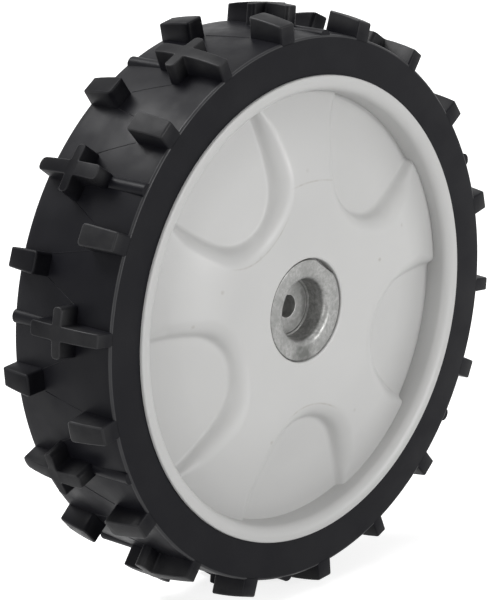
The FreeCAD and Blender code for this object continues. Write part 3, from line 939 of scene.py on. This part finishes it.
def add_tyre():
    """Tyre with its two rows of lugs, the back row half a group further round."""
    rubber = moulded_rubber()
    finish_piece(make_tyre_body(), "tyre", rubber)
    back_angle = LUG_START_ANGLE + 180.0 / LUG_GROUPS
    for name, mirrored, angle in (("front_lugs", False, LUG_START_ANGLE), ("back_lugs", True, back_angle)):
        lugs = ring_of(make_lug_group(mirrored), name, LUG_GROUPS, angle, rubber)
        finish_piece(lugs, "tyre", rubber)


def add_disc():
    """Disc with its rim and ribs, one radial rib behind each pocket and one behind each spoke."""
    plastic = moulded_plastic()
    for moulding in (make_disc_web(), make_disc_rim(), make_ring_ribs()):
        finish_piece(moulding, "wheel_disc", plastic)
    spoke_angle = POCKET_ANGLE + 180.0 / POCKETS
    for name, angle in (("pocket_ribs", POCKET_ANGLE), ("spoke_ribs", spoke_angle)):
        ribs = ring_of(make_radial_rib(name, angle), name, POCKETS, angle, plastic)
        finish_piece(ribs, "wheel_disc", plastic)


def add_camera():
    """Camera at the photograph's angle."""
    azimuth = radians(CAMERA_AZIMUTH)
    elevation = radians(CAMERA_ELEVATION)
    towards_camera = Vector((sin(azimuth) * cos(elevation), -cos(azimuth) * cos(elevation), sin(elevation)))
    right = Vector((cos(azimuth), sin(azimuth), 0))
    up = towards_camera.cross(right)
    view = -towards_camera + right * AIM_RIGHT + up * AIM_UP
    data = bpy.data.cameras.new("camera")
    data.lens = CAMERA_LENS
    data.clip_start = CAMERA_CLIP
    camera = bpy.data.objects.new("camera", data)
    camera.location = Vector((0, FRONT, 0)) + towards_camera * CAMERA_DISTANCE
    back = -view.normalized()
    side = Vector((0, 0, 1)).cross(back).normalized()
    camera.rotation_euler = Matrix((side, back.cross(side), back)).transposed().to_euler()
    scene.collection.objects.link(camera)
    scene.camera = camera


def add_lamp(name, position, size, power):
    """Square soft lamp aimed at the wheel."""
    data = bpy.data.lights.new(name, "AREA")
    data.size = size
    data.energy = power
    lamp = bpy.data.objects.new(name, data)
    lamp.location = position
    lamp.rotation_euler = Vector(position).to_track_quat("Z", "Y").to_euler()
    scene.collection.objects.link(lamp)


def seen_directly(tree):
    """1 for rays that show a thing itself, straight or in gloss and glass, and 0 for rays that light."""
    path = tree.nodes.new("ShaderNodeLightPath")
    seen = path.outputs["Is Camera Ray"]
    for ray in ("Is Glossy Ray", "Is Transmission Ray"):
        either = tree.nodes.new("ShaderNodeMath")
        either.operation = "MAXIMUM"
        tree.links.new(seen, either.inputs[0])
        tree.links.new(path.outputs[ray], either.inputs[1])
        seen = either.outputs[0]
    return seen


def strength_by_ray(tree, lighting, seen):
    """Strength that differs between rays that light and rays that show."""
    choose = tree.nodes.new("ShaderNodeMapRange")
    choose.inputs["To Min"].default_value = lighting
    choose.inputs["To Max"].default_value = seen
    tree.links.new(seen_directly(tree), choose.inputs["Value"])
    return choose.outputs["Result"]


def add_world():
    """World that shows white and gives a dimmer light."""
    world = bpy.data.worlds.new("studio")
    world.use_nodes = True
    scene.world = world
    tree = world.node_tree
    background = tree.nodes["Background"]
    background.inputs["Color"].default_value = WHITE
    tree.links.new(strength_by_ray(tree, WORLD_LIGHT, 1.0), background.inputs["Strength"])


def add_floor():
    """Matt floor under the wheel that shows white and takes its shadow."""
    bpy.ops.mesh.primitive_plane_add(size=FLOOR_SIZE, location=(0, 0, -LUG_RADIUS))
    floor = bpy.context.active_object
    floor.name = "floor"
    m = NodeMaterial("floor")
    m.join(m.blend(m.noise(FLOOR_CLOUD), *FLOOR_SHADES), m.shader.inputs["Base Color"])
    m.shader.inputs["Roughness"].default_value = FLOOR_ROUGHNESS
    m.shader.inputs["Specular IOR Level"].default_value = 0.0
    m.shader.inputs["Emission Color"].default_value = WHITE
    m.join(strength_by_ray(m.tree, 0.0, FLOOR_GLOW), m.shader.inputs["Emission Strength"])
    floor.data.materials.append(m.material)


add_tyre()
add_disc()
finish_piece(make_hub(), "drive_hub", cast_metal())
add_camera()
add_world()
add_floor()
for lamp in LAMPS:
    add_lamp(*lamp)
scene.view_settings.view_transform = "Standard"
